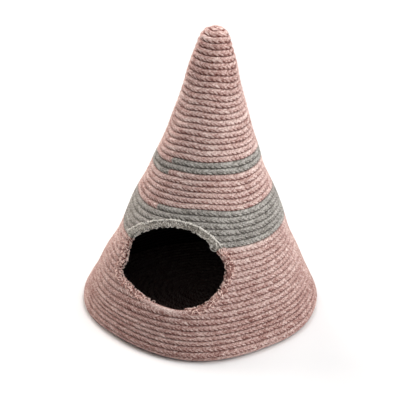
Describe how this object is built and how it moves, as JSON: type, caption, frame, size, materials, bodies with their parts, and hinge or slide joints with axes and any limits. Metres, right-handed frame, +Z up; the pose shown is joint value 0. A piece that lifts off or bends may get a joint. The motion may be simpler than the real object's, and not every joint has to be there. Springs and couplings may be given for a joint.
{
  "type": "cat teepee",
  "caption": "Hollow cone-shaped cat den coiled from braided rope, pink with grey bands, with an arched doorway edged in yarn and a coiled floor.",
  "frame": {"origin": "middle of the coiled floor's underside, on the surface that the teepee stands on", "axes": "+Z up towards the tip, -Y the way that the doorway faces, +X to the right of someone looking in"},
  "size_m": [0.4039, 0.4019, 0.4855],
  "materials": {
    "rope_pink": "matt braided cotton rope, heathered dusty pink",
    "rope_grey": "matt braided cotton rope, heathered warm grey",
    "yarn_pink": "fuzzy overcast cotton yarn, dusty pink",
    "yarn_grey": "fuzzy overcast cotton yarn, warm grey"
  },
  "bodies": {
    "root": {"wall_pink_top": "rope_pink", "wall_grey_narrow": "rope_grey", "wall_pink_middle": "rope_pink", "wall_grey_wide": "rope_grey", "wall_pink_lower": "rope_pink", "floor": "rope_pink", "door_edge_grey": "yarn_grey", "door_edge_pink": "yarn_pink"}
  },
  "joints": []
}
